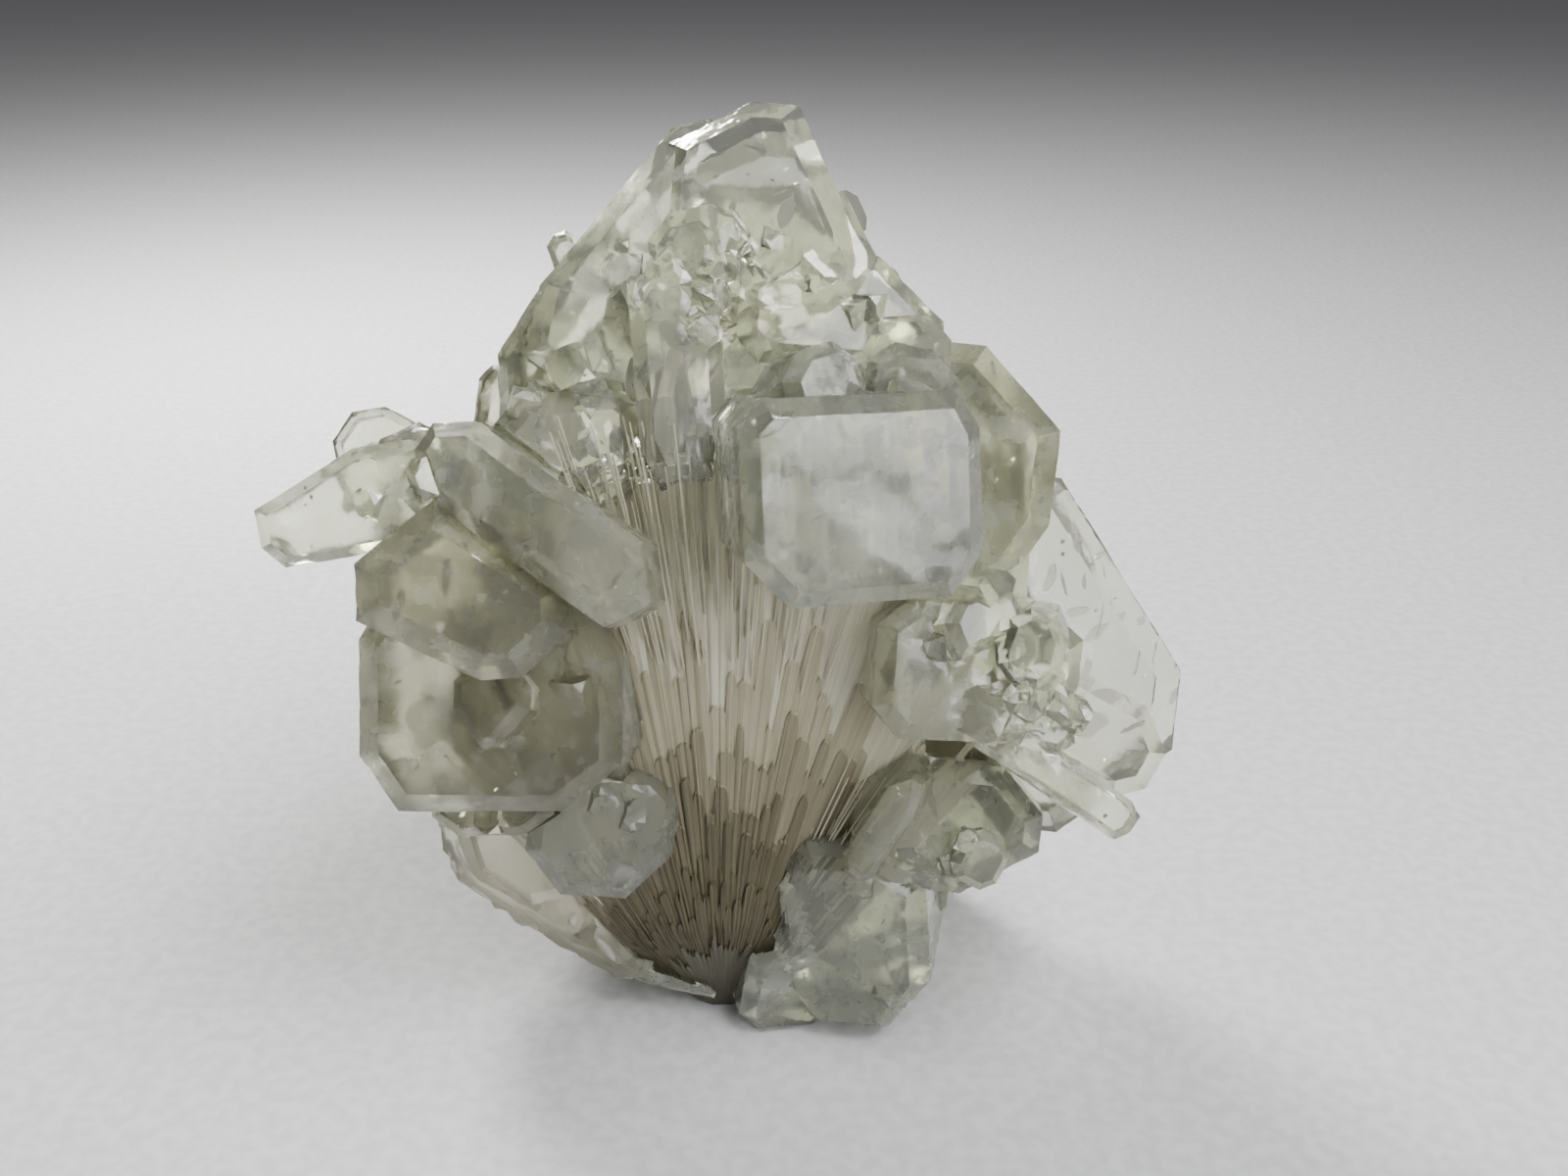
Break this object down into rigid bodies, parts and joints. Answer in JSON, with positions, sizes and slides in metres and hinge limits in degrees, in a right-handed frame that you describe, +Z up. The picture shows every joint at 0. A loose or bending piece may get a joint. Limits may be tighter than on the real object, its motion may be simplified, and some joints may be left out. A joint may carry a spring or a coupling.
{
  "type": "fluorapophyllite crystal cluster",
  "caption": "Pale green, see-through fluorapophyllite crystals grown round a half bow-tie fan of beige stilbite.",
  "frame": {"origin": "on the flat foot, under the middle of the specimen's bounding box", "axes": "+Z up from the foot to the summit, +Y from the face with the fan to the back, +X to the viewer's right"},
  "size_m": [0.054, 0.0356, 0.0592],
  "materials": {
    "apophyllite": "vitreous, pale green, veiled inside",
    "stilbite": "silky, fibrous"
  },
  "bodies": {
    "root": {"stilbite_fan": "stilbite", "apophyllite_front_block": "apophyllite", "apophyllite_left": "apophyllite", "apophyllite_right": "apophyllite", "apophyllite_top": "apophyllite", "apophyllite_lower_left": "apophyllite", "apophyllite_lower_right": "apophyllite", "apophyllite_back": "apophyllite"}
  },
  "joints": []
}
